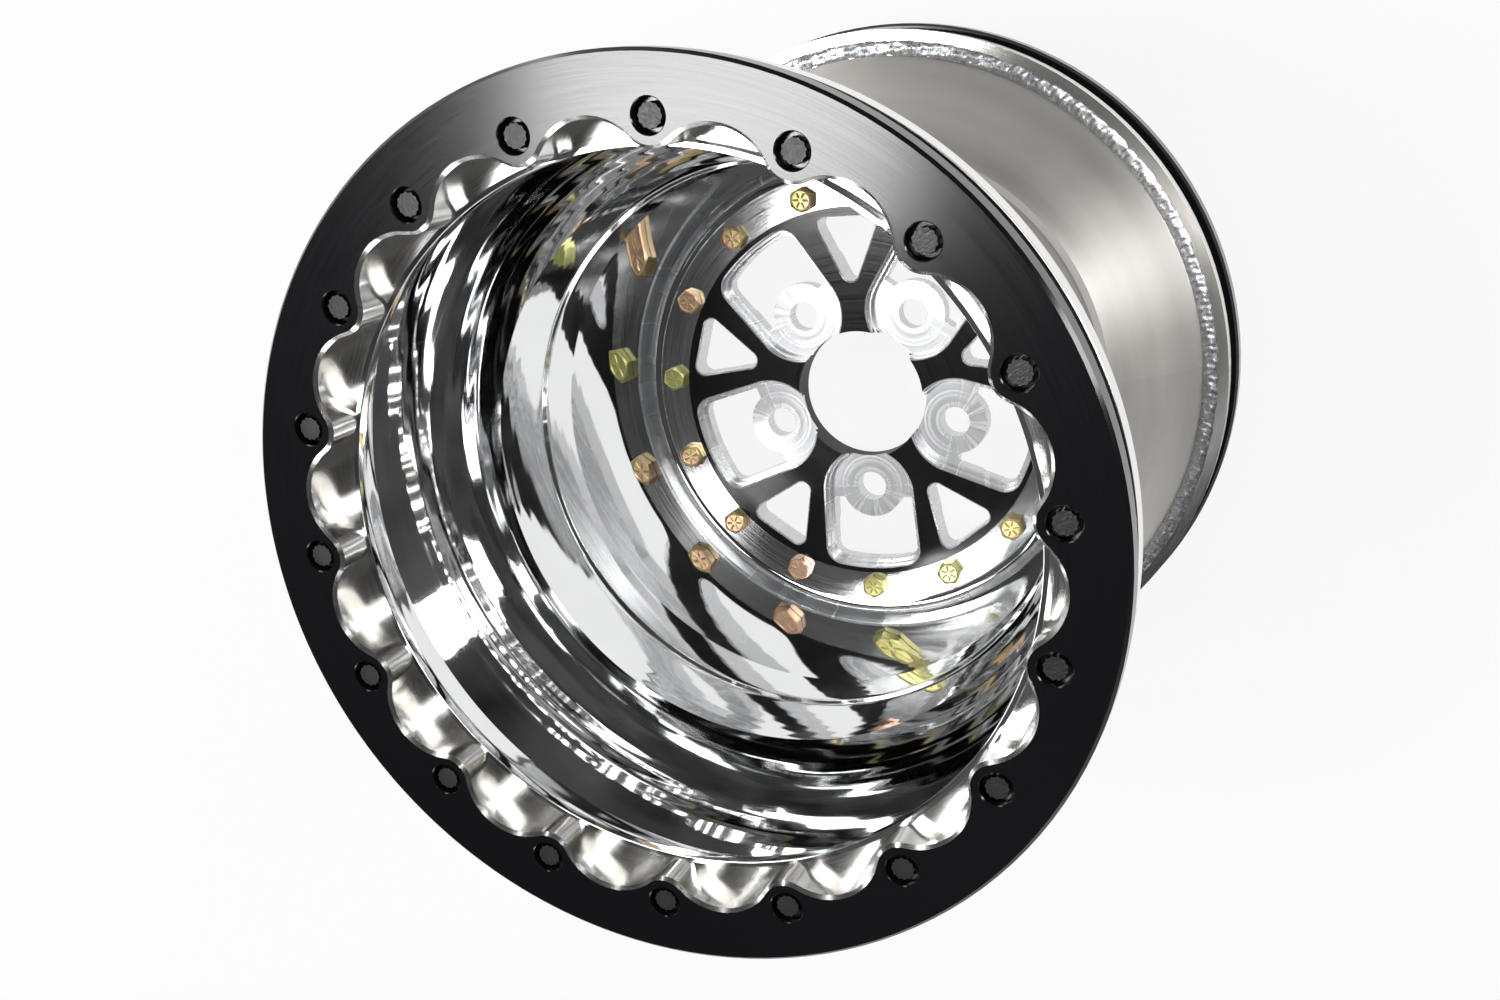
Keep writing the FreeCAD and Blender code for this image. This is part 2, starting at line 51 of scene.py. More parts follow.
# Main planes and circles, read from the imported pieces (metres)
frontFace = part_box("front_clamp_ring")[1].z
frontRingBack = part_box("front_clamp_ring")[0].z
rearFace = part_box("rear_clamp_ring")[0].z
ringThickness = frontFace - frontRingBack
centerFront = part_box("wheel_center")[1].z
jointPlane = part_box("outer_rim_half")[0].z
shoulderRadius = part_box("outer_rim_half")[1].x

scallops = {  # wavy inner edge that the clamp rings and both clamp bases share
    "count": 18,
    "phase": math.radians(3.76),
    "boltCircle": 179.5 * mm,
    "lobeRadius": 13 * mm,
    "valleyReach": 179.3 * mm,
    "baseBore": 166.65 * mm,
}


def scallopEdge(angle):
    # distance of the wavy edge from the axis: an arc round each bolt,
    # and between two bolts an arc tangent to both
    pitch = turn / scallops["count"]
    circle, lobe, reach = scallops["boltCircle"], scallops["lobeRadius"], scallops["valleyReach"]
    along = circle * math.cos(pitch / 2)
    valley = (circle ** 2 + reach ** 2 - 2 * reach * along - lobe ** 2) / (2 * (lobe + reach - along))
    middle = reach - valley
    share = lobe / (lobe + valley)
    meet = math.atan2(share * middle * math.sin(pitch / 2),
                      circle + share * (middle * math.cos(pitch / 2) - circle))
    swing = np.abs((angle - scallops["phase"] + pitch / 2) % pitch - pitch / 2)
    lobeEdge = circle * np.cos(swing) - np.sqrt(np.maximum(lobe ** 2 - (circle * np.sin(swing)) ** 2, 0))
    off = pitch / 2 - swing
    valleyEdge = middle * np.cos(off) + np.sqrt(np.maximum(valley ** 2 - (middle * np.sin(off)) ** 2, 0))
    return np.where(swing < meet, lobeEdge, valleyEdge)


def boltDistance(x, y):
    # how far a place lies from the axis of its nearest clamp bolt
    pitch = turn / scallops["count"]
    swing = (np.arctan2(y, x) - scallops["phase"] + pitch / 2) % pitch - pitch / 2
    radius = np.hypot(x, y)
    return np.hypot(radius * np.cos(swing) - scallops["boltCircle"], radius * np.sin(swing))


def smoothStep(value):
    # eased ramp from 0 to 1
    value = np.clip(value, 0, 1)
    return value * value * (3 - 2 * value)


def roundedLine(corners, spacing):
    # straight runs through corners (r, z, fillet radius), with an arc tangent to both runs at each corner
    places = np.array([corner[:2] for corner in corners], float)
    line = [places[:1]]
    for step in range(1, len(corners)):
        start, corner = line[-1][-1], places[step]
        fillet = corners[step][2] if step < len(corners) - 1 else 0
        arc = corner[None]
        if fillet:
            back = (places[step - 1] - corner) / np.linalg.norm(places[step - 1] - corner)
            ahead = (places[step + 1] - corner) / np.linalg.norm(places[step + 1] - corner)
            half = math.acos(np.clip(back @ ahead, -1, 1)) / 2
            bisector = (back + ahead) / np.linalg.norm(back + ahead)
            centre = corner + bisector * fillet / math.sin(half)
            sweep = np.linspace(-1, 1, arcPoints)[:, None] * (math.pi / 2 - half)
            side = ahead - (ahead @ bisector) * bisector
            side = side / np.linalg.norm(side)
            arc = centre - bisector * fillet * np.cos(sweep) + side * fillet * np.sin(sweep)
        count = max(int(np.linalg.norm(arc[0] - start) / spacing), 1)
        share = np.linspace(0, 1, count + 1)[1:, None]
        line.append(np.concatenate([start + share * (arc[0] - start), arc[1:]]))
    return np.concatenate(line)


def revolve(radius, height, angles):
    # place at angle a: (r cos a, r sin a, z), where r and z may change with the angle
    shape = np.broadcast_shapes(np.shape(radius), np.shape(height), (len(angles), 1))
    radius, height = np.broadcast_to(radius, shape), np.broadcast_to(height, shape)
    return np.stack([radius * np.cos(angles)[:, None], radius * np.sin(angles)[:, None], height], -1)


def joinGrids(name, grids, finishes, sharp=30):
    # puts grids of points[rows, columns, xyz] into one mesh; a face looks along (row step) x (column step),
    # and the cells marked as a hole are left out
    points, corners, picks, start = [], [], [], 0
    for surface, finish, *hole in grids:
        rows, columns = surface.shape[:2]
        index = np.arange(rows * columns).reshape(rows, columns) + start
        index = np.vstack([index, index[:1]])
        quads = np.stack([index[:-1, :-1], index[1:, :-1], index[1:, 1:], index[:-1, 1:]], -1)
        quads = quads[~hole[0]] if hole else quads
        points.append(surface.reshape(-1, 3))
        corners.append(quads.reshape(-1, 4))
        picks.append(np.full(quads.size // 4, finish))
        start += rows * columns
    return finishMesh(name, np.concatenate(points), np.concatenate(corners), np.concatenate(picks), finishes,
                      sharp)


def finishMesh(name, points, corners, picks, finishes, sharp):
    # equal places become one vertex, and edges bent by more than the sharp angle keep a crisp shade
    cells = np.round(points / mergeStep).astype(np.int64)
    first, same = np.unique(cells, axis=0, return_index=True, return_inverse=True)[1:]
    corners = same.reshape(-1)[corners]
    points = points[first]
    wide = (corners != np.roll(corners, 1, 1)).sum(1) > 2
    corners, picks = corners[wide], picks[wide]
    following = np.roll(corners, -1, 1)
    keep = corners != following
    mesh = bpy.data.meshes.new(name)
    mesh.vertices.add(len(points))
    mesh.vertices.foreach_set("co", points.astype(np.float32).ravel())
    mesh.loops.add(int(keep.sum()))
    mesh.loops.foreach_set("vertex_index", corners[keep].astype(np.int32))
    mesh.polygons.add(len(corners))
    sides = keep.sum(1)
    mesh.polygons.foreach_set("loop_start", (np.cumsum(sides) - sides).astype(np.int32))
    mesh.polygons.foreach_set("material_index", picks.astype(np.int32))
    mesh.polygons.foreach_set("use_smooth", np.ones(len(corners), bool))
    mesh.update(calc_edges=True)
    mesh.validate()
    mesh.set_sharp_from_angle(angle=math.radians(sharp))
    for finish in finishes:
        mesh.materials.append(finish)
    piece = bpy.data.objects.new(name, mesh)
    scene.collection.objects.link(piece)
    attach(piece, "root")
    return piece


def dressNode(name, finishes, choose=None):
    # gives a CAD node its finishes; choose picks one for each face from its centre and its normal
    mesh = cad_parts[name].data
    mesh.materials.clear()
    for finish in finishes:
        mesh.materials.append(finish)
    if choose is None:
        return
    centre, normal = np.empty((2, len(mesh.polygons) * 3), np.float32)
    mesh.polygons.foreach_get("center", centre)
    mesh.polygons.foreach_get("normal", normal)
    picks = choose(centre.reshape(-1, 3).astype(float), normal.reshape(-1, 3).astype(float))
    mesh.polygons.foreach_set("material_index", picks.astype(np.int32))


# Finishes
def startFinish(name, **sockets):
    # new material with its constant sockets set on the shader itself
    material = bpy.data.materials.new(name)
    material.use_nodes = True
    shader = material.node_tree.nodes["Principled BSDF"]
    for socket, value in sockets.items():
        shader.inputs[socket.replace("_", " ")].default_value = value
    return material, material.node_tree, shader


def addNode(tree, kind, settings=None, **inputs):
    # new node; an input is a number or another node's output, named with _ for a blank or as i and its index
    node = tree.nodes.new(kind)
    for key, value in (settings or {}).items():
        setattr(node, key, value)
    for key, value in inputs.items():
        socket = node.inputs[int(key[1:])] if key[1:].isdigit() else node.inputs[key.replace("_", " ")]
        if isinstance(value, bpy.types.NodeSocket):
            tree.links.new(value, socket)
        else:
            socket.default_value = value
    return node


def feed(tree, shader, **outputs):
    # joins node outputs to the shader's sockets
    for socket, output in outputs.items():
        tree.links.new(output, shader.inputs[socket.replace("_", " ")])


def math2(tree, operation, first, second=0.0, third=0.0):
    return addNode(tree, "ShaderNodeMath", {"operation": operation}, i0=first, i1=second, i2=third).outputs[0]


def rootOfSquares(tree, first, second):
    firstSquare = math2(tree, "MULTIPLY", first, first)
    secondSquare = math2(tree, "MULTIPLY", second, second)
    return math2(tree, "SQRT", math2(tree, "ADD", firstSquare, secondSquare))


def wheelPlace(tree):
    # the place on the object: its x, y and z, and its distance from the axis
    place = addNode(tree, "ShaderNodeTexCoord").outputs["Object"]
    x, y, z = addNode(tree, "ShaderNodeSeparateXYZ", Vector=place).outputs
    return place, x, y, z, rootOfSquares(tree, x, y)


def noise(tree, place, scale, detail):
    return addNode(tree, "ShaderNodeTexNoise", Vector=place, Scale=scale, Detail=detail).outputs["Fac"]


def noiseAlong(tree, distance, scale, detail):
    # noise of one number
    return addNode(tree, "ShaderNodeTexNoise", {"noise_dimensions": "1D"}, W=distance, Scale=scale,
                   Detail=detail).outputs["Fac"]


def turnedMarks(tree, fine, along, detail=2.0):
    # noise that changes fast across a cut (with radius and height) and slowly along it (round the axis)
    x, y, z, radius = wheelPlace(tree)[1:]
    across = addNode(tree, "ShaderNodeCombineXYZ", X=math2(tree, "MULTIPLY", radius, fine),
                     Y=math2(tree, "MULTIPLY", z, fine),
                     Z=math2(tree, "MULTIPLY", math2(tree, "ADD", x, y), along))
    return noise(tree, across.outputs[0], 1.0, detail)


noiseSpan = (0.3, 0.7)  # the part of a noise that is used


def mapRange(tree, value, start, end, low=0.0, high=1.0):
    return addNode(tree, "ShaderNodeMapRange", Value=value, From_Min=start, From_Max=end, To_Min=low,
                   To_Max=high).outputs[0]


def spread(tree, value, low, high):
    # maps the used part of a noise to low..high
    return mapRange(tree, value, *noiseSpan, low, high)


def blend(tree, share, first, second):
    # colour between two tones
    return addNode(tree, "ShaderNodeMix", {"data_type": "RGBA"}, i0=share, i6=first, i7=second).outputs[2]


def bumpOf(tree, height, distance):
    return addNode(tree, "ShaderNodeBump", Height=height, Distance=distance, Strength=1.0).outputs[0]


polish = {
    "tone": (0.88, 0.885, 0.89, 1),
    "roughness": (0.02, 0.05),
    "wheelMarks": (2600, 16),  # noise across and along the cut, per metre
    "grain": 0.0012 * mm,
    "pitch": 7.5 * mm,
    "waves": 0.03 * mm,
    "wander": (18, 6, 0.0),
    "wanderReach": 9.0,
    "swell": (30, 9, 1.0),
    "swellRange": (0.1, 1.0),
    "rippled": (150 * mm, 195 * mm),  # heights between which the ripples grow
    "calm": 0.12,  # their share below that
}


def polishedFinish():
    # mirror polish with faint wheel marks round the axis, and ripples of the spinning:
    # a sine along the axis that wanders, swells and is strongest on the flare
    material, tree, shader = startFinish("polishedAluminium", Base_Color=polish["tone"], Metallic=1.0)
    wheelMarks = turnedMarks(tree, *polish["wheelMarks"])
    level = wheelPlace(tree)[3]
    wander = math2(tree, "MULTIPLY", turnedMarks(tree, *polish["wander"]), polish["wanderReach"])
    run = math2(tree, "MULTIPLY_ADD", level, turn / polish["pitch"], wander)
    swell = spread(tree, turnedMarks(tree, *polish["swell"]), *polish["swellRange"])
    flared = mapRange(tree, level, *polish["rippled"], polish["calm"])
    ripples = math2(tree, "MULTIPLY", math2(tree, "SINE", run), math2(tree, "MULTIPLY", swell, flared))
    waves = bumpOf(tree, ripples, polish["waves"])
    grain = addNode(tree, "ShaderNodeBump", Height=wheelMarks, Distance=polish["grain"], Normal=waves)
    feed(tree, shader, Roughness=spread(tree, wheelMarks, *polish["roughness"]), Normal=grain.outputs[0])
    return material


milled = {"tone": (0.86, 0.85, 0.83, 1), "roughness": (0.13, 0.23), "lines": (1500, 40), "depth": 0.004 * mm}


def milledFinish():
    # bare milled metal with fine tool lines round the axis
    material, tree, shader = startFinish("milledAluminium", Base_Color=milled["tone"], Metallic=1.0)
    lines = turnedMarks(tree, *milled["lines"])
    feed(tree, shader, Roughness=spread(tree, lines, *milled["roughness"]),
         Normal=bumpOf(tree, lines, milled["depth"]))
    return material


lugPad = {
    "circle": 57.15 * mm,
    "count": 5,
    "lead": -0.5 * math.pi,
    "metallic": 0.6,
    "tone": (0.92, 0.925, 0.935, 1),
    "dark": (0.78, 0.785, 0.8, 1),
    "fan": 6.0,
    "fanDetail": 2.0,
    "rings": 420,
    "ringDetail": 1.0,
    "turnOver": (-9 * mm, 9 * mm),  # from the hub side of a lug hole to its outer side
    "roughness": (0.2, 0.32),
    "depth": 0.004 * mm,
}


def lugPadFinish():
    # bare milled pockets: cutter rings about each lug hole on the hub side, a fan of marks on the outer side
    material, tree, shader = startFinish("lugPadMetal", Metallic=lugPad["metallic"])
    place, x, y, z, radius = wheelPlace(tree)
    pitch = turn / lugPad["count"]
    lead = math2(tree, "SUBTRACT", math2(tree, "ARCTAN2", y, x), lugPad["lead"] - pitch / 2 - turn)
    swing = math2(tree, "SUBTRACT", math2(tree, "MODULO", lead, pitch), pitch / 2)
    along = math2(tree, "MULTIPLY", radius, math2(tree, "COSINE", swing))
    outward = math2(tree, "SUBTRACT", along, lugPad["circle"])
    sideways = math2(tree, "MULTIPLY", radius, math2(tree, "SINE", swing))
    bearing = math2(tree, "MULTIPLY", math2(tree, "ARCTAN2", sideways, outward), lugPad["fan"])
    fan = noiseAlong(tree, bearing, 1.0, lugPad["fanDetail"])
    rings = noiseAlong(tree, rootOfSquares(tree, outward, sideways), lugPad["rings"], lugPad["ringDetail"])
    turnOver = mapRange(tree, outward, *lugPad["turnOver"])
    marks = addNode(tree, "ShaderNodeMix", i0=turnOver, i2=rings, i3=fan).outputs[0]
    feed(tree, shader, Base_Color=blend(tree, spread(tree, marks, 0.0, 1.0), lugPad["dark"], lugPad["tone"]),
         Roughness=spread(tree, marks, *lugPad["roughness"]), Normal=bumpOf(tree, marks, lugPad["depth"]))
    return material


anodised = {"tone": (0.006, 0.006, 0.0075, 1), "shine": 0.5, "roughness": (0.15, 0.19), "lines": (1800, 30),
            "depth": 0.0015 * mm}


def anodisedFinish():
    # satin black over fine turning marks
    material, tree, shader = startFinish("blackAnodised", Base_Color=anodised["tone"],
                                         Specular_IOR_Level=anodised["shine"])
    lines = turnedMarks(tree, *anodised["lines"])
    feed(tree, shader, Roughness=spread(tree, lines, *anodised["roughness"]),
         Normal=bumpOf(tree, lines, anodised["depth"]))
    return material


centerPaint = {
    "edge": 109.6 * mm,
    "black": (0.01, 0.01, 0.011, 1),
    "silver": (0.86, 0.865, 0.87, 1),
    "shine": 0.5,
    "roughness": (0.1, 0.2),
    "lines": (2200, 16),
    "depth": 0.004 * mm,
}


def centerFaceFinish():
    # black inside the paint edge and turned silver outside it
    material, tree, shader = startFinish("centerFace", Specular_IOR_Level=centerPaint["shine"])
    bare = math2(tree, "GREATER_THAN", wheelPlace(tree)[4], centerPaint["edge"])
    lines = turnedMarks(tree, *centerPaint["lines"])
    tone = blend(tree, bare, centerPaint["black"], centerPaint["silver"])
    feed(tree, shader, Base_Color=tone, Metallic=bare, Normal=bumpOf(tree, lines, centerPaint["depth"]),
         Roughness=spread(tree, lines, *centerPaint["roughness"]))
    return material


spun = {
    "tones": ((0.42, 0.402, 0.38, 1), (0.58, 0.56, 0.532, 1)),
    "roughness": (0.36, 0.46),
    "bands": (60, 5),
    "bandShare": 0.5,
    "stains": (14.0, 4.0),
    "stainShare": 0.5,
    "grain": (1500.0, 2.0),
    "depth": 0.006 * mm,
}


def spunFinish():
    # dull as-formed metal with soft bands and stains
    material, tree, shader = startFinish("spunAluminium", Metallic=1.0)
    place = wheelPlace(tree)[0]
    bands = math2(tree, "MULTIPLY", turnedMarks(tree, *spun["bands"]), spun["bandShare"])
    stains = math2(tree, "MULTIPLY", noise(tree, place, *spun["stains"]), spun["stainShare"])
    both = math2(tree, "ADD", bands, stains)
    grain = noise(tree, place, *spun["grain"])
    feed(tree, shader, Base_Color=blend(tree, spread(tree, both, 0.0, 1.0), *spun["tones"]),
         Roughness=spread(tree, both, *spun["roughness"]), Normal=bumpOf(tree, grain, spun["depth"]))
    return material


def grainyFinish(name, look):
    # plain surface with a fine grain in its roughness and its height
    material, tree, shader = startFinish(name, **look["sockets"])
    grain = noise(tree, wheelPlace(tree)[0], *look["grain"])
    feed(tree, shader, Roughness=spread(tree, grain, *look["roughness"]),
         Normal=bumpOf(tree, grain, look["depth"]))
    return material


seamSkin = {"sockets": {"Base_Color": (0.8, 0.82, 0.85, 1), "Metallic": 1.0}, "grain": (700.0, 4.0),
            "roughness": (0.22, 0.4), "depth": 0.09 * mm}
headSides = {"sockets": {"Base_Color": (0.014, 0.014, 0.015, 1), "Specular_IOR_Level": 0.6},
             "grain": (900.0, 3.0), "roughness": (0.16, 0.26), "depth": 0.01 * mm}
# head tops: a rougher grain, and a lighter tone than the sides that is painted highlight
headTops = {"sockets": {"Base_Color": (0.028, 0.028, 0.03, 1), "Specular_IOR_Level": 0.6},
            "grain": (900.0, 3.0), "roughness": (0.3, 0.45), "depth": 0.2 * mm}
hubBore = {"sockets": {"Base_Color": (0.03, 0.03, 0.031, 1), "Specular_IOR_Level": 0.6},
           "grain": (900.0, 3.0), "roughness": (0.5, 0.6), "depth": 0.01 * mm}
curedSealant = {"sockets": {"Base_Color": (0.3, 0.3, 0.3, 1)}, "grain": (180.0, 3.0),
                "roughness": (0.45, 0.6), "depth": 0.3 * mm}

zinc = {"metallic": 0.7, "wide": (22.0, 0.0), "wideShare": 0.6, "fine": (420.0, 3.0), "fineShare": 0.4,
        "stops": (0.4, 0.5, 0.6)}
goldFilm = {"tones": ((0.92, 0.55, 0.42, 1), (0.93, 0.72, 0.34, 1), (0.7, 0.69, 0.26, 1)),
            "roughness": (0.26, 0.4)}
clearFilm = {"tones": ((0.6, 0.61, 0.63, 1), (0.68, 0.68, 0.68, 1), (0.62, 0.63, 0.66, 1)),
             "roughness": (0.28, 0.4)}


def zincFinish(name, film):
    # plated steel whose film colour drifts over each piece
    material, tree, shader = startFinish(name, Metallic=zinc["metallic"])
    place = wheelPlace(tree)[0]
    wide = math2(tree, "MULTIPLY", noise(tree, place, *zinc["wide"]), zinc["wideShare"])
    fine = math2(tree, "MULTIPLY", noise(tree, place, *zinc["fine"]), zinc["fineShare"])
    drift = math2(tree, "ADD", wide, fine)
    ramp = addNode(tree, "ShaderNodeValToRGB", Fac=drift)
    stops = ramp.color_ramp.elements
    stops[0].position, middle, stops[1].position = zinc["stops"]
    stops[0].color, middleTone, stops[1].color = film["tones"]
    stops.new(middle).color = middleTone
    feed(tree, shader, Base_Color=ramp.outputs["Color"], Roughness=spread(tree, drift, *film["roughness"]))
    return material


polished = polishedFinish()
milledMetal = milledFinish()
padMetal = lugPadFinish()
seamMetal = grainyFinish("seamMetal", seamSkin)
black = anodisedFinish()
centerFace = centerFaceFinish()
spunMetal = spunFinish()
yellowZinc = zincFinish("yellowZinc", goldFilm)
plainZinc = zincFinish("plainZinc", clearFilm)
oxide = grainyFinish("blackOxide", headSides)
# black oxide of the head tops, painted lighter grey than the sides as a painted highlight
paintedSheenOxide = grainyFinish("paintedSheenOxide", headTops)
boreBlack = grainyFinish("boreBlack", hubBore)
sealant = grainyFinish("sealantGrey", curedSealant)
print("finishes ready")

# Outer half of the rim
dish = {
    "wall": 5 * mm,
    "lipDepth": 20 * mm,
    "lipOutside": 168 * mm,
    "lipShares": np.array([0, 0.3, 0.6, 1]),
    "pocketDepth": 13.5 * mm,
    "pocketBlend": 0.6 * mm,
    "pocketRows": 5,
    "shoulderDrop": 15.9 * mm,
    "shoulderThickness": 11 * mm,
    "shoulderFillet": 0.6 * mm,
    "shoulderSlack": 0.2 * mm,
    "shoulderStep": 1 * mm,
    "channelFillet": 1 * mm,
    "beadRadius": 190 * mm,
    "beadFillet": 2 * mm,
    "wallOutside": 149.5 * mm,
    "wallDepth": 191 * mm,
    "wallFillet": 4 * mm,
    "flangeEdge": 137.5 * mm,
    "flangeChamfer": 3 * mm,
    "flangeHole": 108 * mm,
    "flangeTop": jointPlane + 5 * mm,
    "steps": 540,
    "spacing": 2.8 * mm,
    "outsideSpacing": 9 * mm,
    "linerCrease": 12,  # degrees
}
# radius and depth below the ring face (mm) of its ends
flare = {"start": (185, 59.3), "end": (149.8, 123), "radius": 278.5, "rows": 34}
# the hole, with the grid rows on both sides of +X and the depths (mm) that it is cut from
valve = {"level": 240.1 * mm, "radius": 5.75 * mm, "cells": (530, 539), "depths": np.linspace(46, 59.3, 7)}
# polished inside, from the lip down to the bolted flange: radius, depth below the ring face, fillet (mm)
lipLine = [(165.5, 20, 0.5), (165.5, 26, 0.5), (185, 44.6, 2)]
hoopLine = [(147.4, 163, 1.2), (145.4, 165, 1.2), (144.5, 191, 3), (135.5, 281, 4), (108, 281, 0)]


def flareLine(wall):
    # arc through both ends of the flare; its centre lies outside the rim, square to the middle of the chord
    first = np.array(flare["start"]) + (wall, 0)
    last = np.array(flare["end"]) + (wall, 0)
    chord = last - first
    half = np.linalg.norm(chord) / 2
    bend = flare["radius"] - wall
    square = np.array([chord[1], -chord[0]]) / (2 * half)
    centre = (first + last) / 2 + square * math.sqrt(bend ** 2 - half ** 2)
    depth = np.linspace(first[1], last[1], flare["rows"])
    radius = centre[0] - np.sqrt(bend ** 2 - (depth - centre[1]) ** 2)
    return [(r, d, 0) for r, d in zip(radius, depth)]


def wellLine(radius):
    # straight wall of the well, in the steps that the valve hole is cut from
    return [(radius, depth, 0) for depth in valve["depths"][:-1]]


def belowFace(line):
    # corners (radius, depth below the ring face, fillet) in mm as (r, z, fillet) in metres
    return [(radius * mm, frontFace - depth * mm, fillet * mm) for radius, depth, fillet in line]


def valveOpening(surface):
    # cells of a grid that make room for the valve hole, and their rim:
    # a loop that runs towards -Y at its lower end
    low, high = valve["cells"]
    level = surface[0, :, 2]
    limits = frontFace - valve["depths"][[0, -1]] * mm
    ends = [int(np.argmin(np.abs(level - limit))) for limit in limits]
    hole = np.zeros((surface.shape[0], surface.shape[1] - 1), bool)
    hole[low:high, min(ends):max(ends)] = True
    cells = surface[low:high + 1, min(ends):max(ends) + 1]
    cells = cells if ends[0] < ends[1] else cells[:, ::-1]
    rim = np.concatenate([cells[:0:-1, -1], cells[0, :0:-1], cells[:-1, 0], cells[-1, :-1]])
    return hole, rim


def valveCircle(rim, radius):
    # where the valve hole meets a wall: each place of the rim drawn in to the hole's own circle
    bearing = np.arctan2(rim[:, 2] - valve["level"], rim[:, 1])
    y = valve["radius"] * np.cos(bearing)
    z = valve["level"] + valve["radius"] * np.sin(bearing)
    return np.stack([np.sqrt(radius ** 2 - y ** 2), y, z], -1)


def dishLiner(angles):
    # the polished line turned about the axis, with the valve hole's inner mouth
    wellRadius = flare["start"][0]
    line = [(dish["lipOutside"], frontFace - dish["lipDepth"], 0)]
    line += belowFace(lipLine + wellLine(wellRadius) + flareLine(0) + hoopLine)
    inside = roundedLine(line, dish["spacing"])[1:]
    surface = revolve(inside[:, 0], inside[:, 1], angles)
    hole, rim = valveOpening(surface)
    mouth = valveCircle(rim, wellRadius * mm)
    grids = [(surface, 0, hole), (np.stack([rim, mouth], 1), 0)]
    liner = joinGrids("dishLiner", grids, [polished], dish["linerCrease"])
    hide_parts("outer_rim_half")
    print("dish liner:", len(liner.data.polygons), "faces")
    return inside[0, 0], mouth


def rimOutside(angles, lipRadius, innerMouth):
    # the barrel, shoulder and bead wall turned about the axis, and the pockets between the scallops
    edge = np.maximum(scallopEdge(angles), scallops["baseBore"])[:, None]
    bead = dish["beadRadius"]
    lipTop = frontFace - dish["lipDepth"]
    sink = frontRingBack - dish["pocketDepth"]
    floor = lipTop + (sink - lipTop) * smoothStep((edge - dish["lipOutside"]) / dish["pocketBlend"])
    inner = np.minimum(edge, dish["lipOutside"])
    shoulderTop = frontRingBack - dish["shoulderDrop"]
    shoulderBase = shoulderTop - dish["shoulderThickness"]
    chamferEnd = dish["flangeEdge"] + dish["flangeChamfer"]
    line = [(dish["flangeHole"], jointPlane, 0), (dish["flangeEdge"], jointPlane, 0)]
    line += [(chamferEnd, jointPlane + dish["flangeChamfer"], 0)]
    line += [(dish["wallOutside"], frontFace - dish["wallDepth"], dish["wallFillet"])]
    line += belowFace(flareLine(dish["wall"] / mm)[::-1] + wellLine(bead / mm)[::-1])
    line += [(bead, shoulderBase, dish["beadFillet"]), (shoulderRadius, shoulderBase, dish["shoulderFillet"])]
    line += [(shoulderRadius, shoulderTop, dish["shoulderFillet"])]
    line += [(bead, shoulderTop, dish["channelFillet"]), (bead, frontRingBack, 0)]
    outside = roundedLine(line, dish["outsideSpacing"])
    raised = outside[:, 1] > shoulderBase - dish["shoulderSlack"]
    start = int(np.argmax(raised & (outside[:, 0] > bead + dish["shoulderStep"])))
    barrel = revolve(outside[:start + 1, 0], outside[:start + 1, 1], angles)
    hole, rim = valveOpening(barrel)
    across = np.linspace(0, 1, 3)
    down = np.linspace(0, 1, dish["pocketRows"])
    grids = [
        (barrel, 0, hole),
        (np.stack([innerMouth, valveCircle(rim, bead), rim], 1), 0),
        (revolve(outside[start:, 0], outside[start:, 1], angles), 1),
        (revolve(bead + (edge - bead) * across, frontRingBack, angles), 1),
        (revolve(edge, frontRingBack + (floor - frontRingBack) * down, angles), 1),
        (revolve(edge + (inner - edge) * down, floor, angles), 1),
        (revolve(inner, floor + (lipTop - floor) * down, angles), 1),
        (revolve(inner + (lipRadius - inner) * dish["lipShares"], lipTop, angles), 2),
        (revolve(dish["flangeHole"], np.array([dish["flangeTop"], jointPlane]), angles), 0),
    ]
    base = joinGrids("rimOutside", grids, [spunMetal, milledMetal, polished])
    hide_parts("outer_rim_half")
    print("rim outside:", len(base.data.polygons), "faces")


rimAngles = scallops["phase"] + np.arange(dish["steps"]) * turn / dish["steps"]
rimOutside(rimAngles, *dishLiner(rimAngles))

goldBolt = {
    "count": 15,
    "circle": 117.25 * mm,
    "lead": -0.5 * math.pi,
    "across": 12.7 * mm,
    "height": 5.6 * mm,
    "washerRadius": 6.15 * mm,
    "washerHeight": 0.45 * mm,
    "crown": 5.7 * mm,
    "crownRows": 19,
    "slope": math.tan(math.radians(30)),
    "markWidth": 0.6 * mm,
    "markHeight": 0.5 * mm,
    "markEdge": 0.5 * mm,
    "markSpan": (1.5 * mm, 4.7 * mm),
    "shank": 3.97 * mm,
    "plainShank": 20 * mm,
    "tailChamfer": 0.5 * mm,
    "pitch": 1.06 * mm,
    "thread": 0.35 * mm,
    "steps": 72,
    "rows": 60,
    "spin": math.radians(37),
    "crease": 25,  # degrees
}


